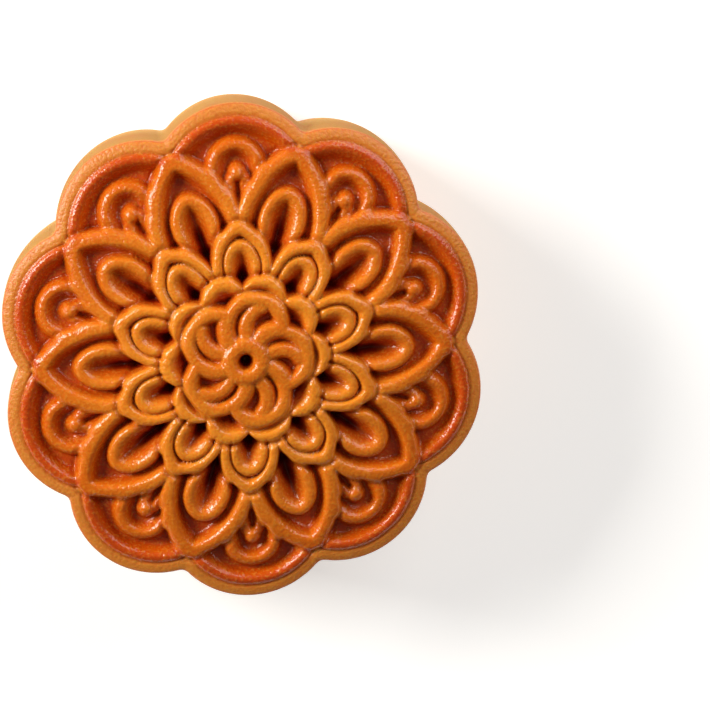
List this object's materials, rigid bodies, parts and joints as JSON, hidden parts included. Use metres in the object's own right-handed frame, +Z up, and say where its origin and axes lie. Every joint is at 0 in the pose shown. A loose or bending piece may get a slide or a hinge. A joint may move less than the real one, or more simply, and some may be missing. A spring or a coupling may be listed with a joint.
{
  "type": "mooncake",
  "caption": "Round baked mooncake with a lobed upright wall and a layered flower pressed in relief into its domed face.",
  "frame": {"origin": "middle of the flat base, in the plane that the cake stands on", "axes": "+Z up out of the pressed face, +Y through the middle of one lobe of the wall"},
  "size_m": [0.063, 0.0662, 0.0285],
  "materials": {
    "crust": "golden brown baked crust with an egg glaze on the pressed face, plain and paler on the wall"
  },
  "bodies": {
    "root": {"mooncake": "crust"}
  },
  "joints": []
}
